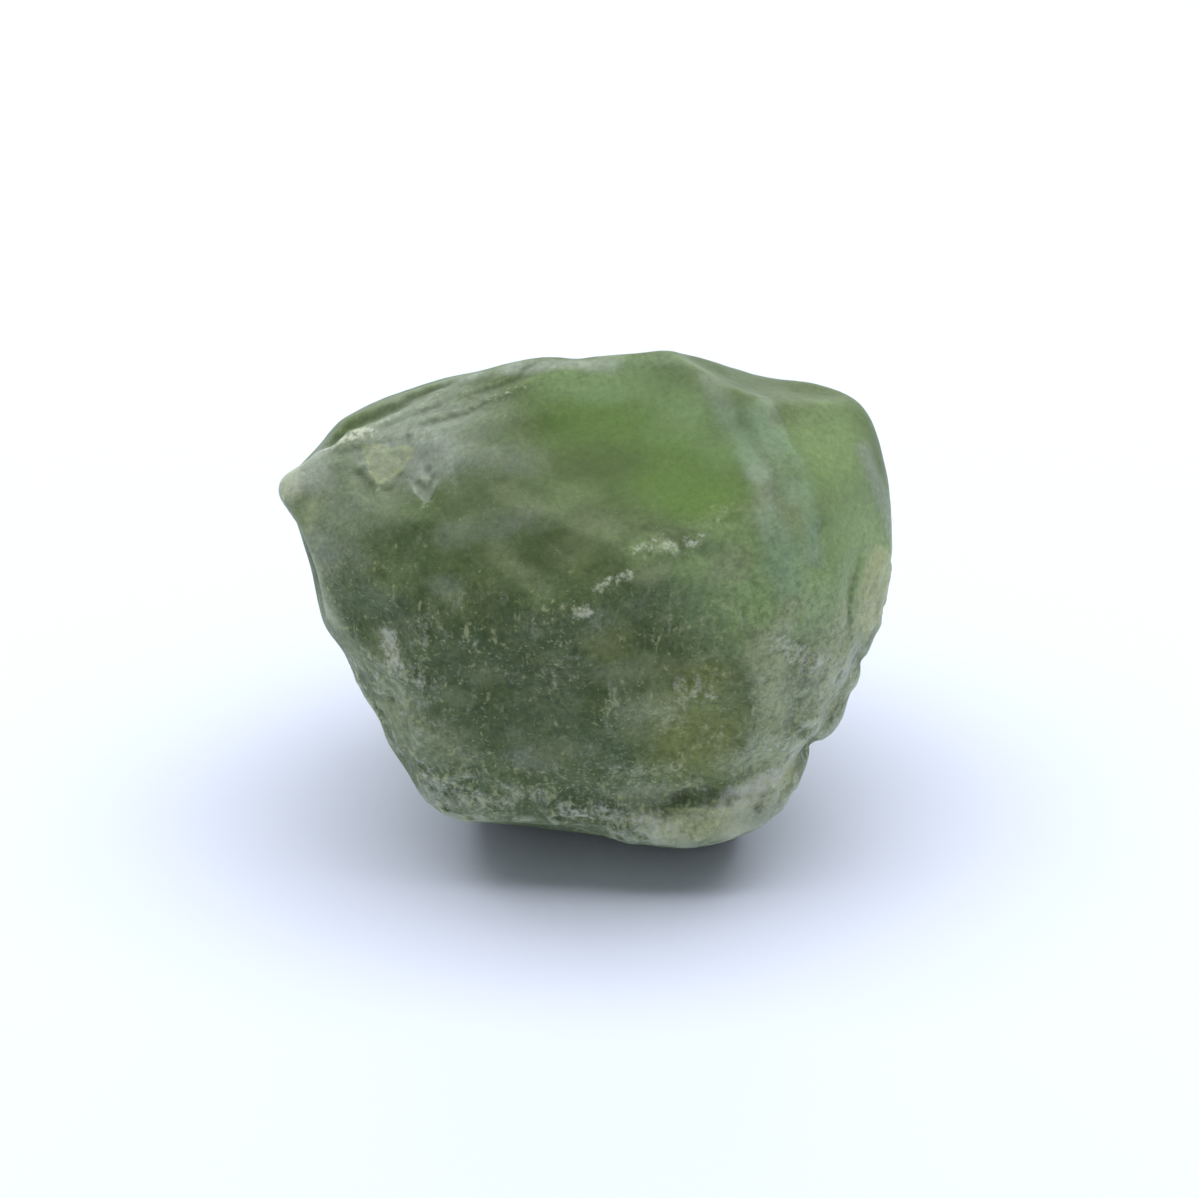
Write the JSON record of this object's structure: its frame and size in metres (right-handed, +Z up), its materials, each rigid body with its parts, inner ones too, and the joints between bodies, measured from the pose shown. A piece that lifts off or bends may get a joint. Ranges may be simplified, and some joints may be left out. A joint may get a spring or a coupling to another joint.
{
  "type": "raw peridot",
  "caption": "Rough lump of cloudy green peridot with a dished crown and an undercut foot, which stands on a worn flat.",
  "frame": {"origin": "middle of the bounding box's underside, on the worn foot that the stone rests on", "axes": "+X along the stone's longest side, towards the side with the blunt ridge; +Y to the back; +Z up"},
  "size_m": [0.0278, 0.0194, 0.0238],
  "materials": {
    "peridot": "cloudy olive green, waxy and half matt, with pale frosted chips and edges"
  },
  "bodies": {
    "root": {"peridot_stone": "peridot"}
  },
  "joints": []
}
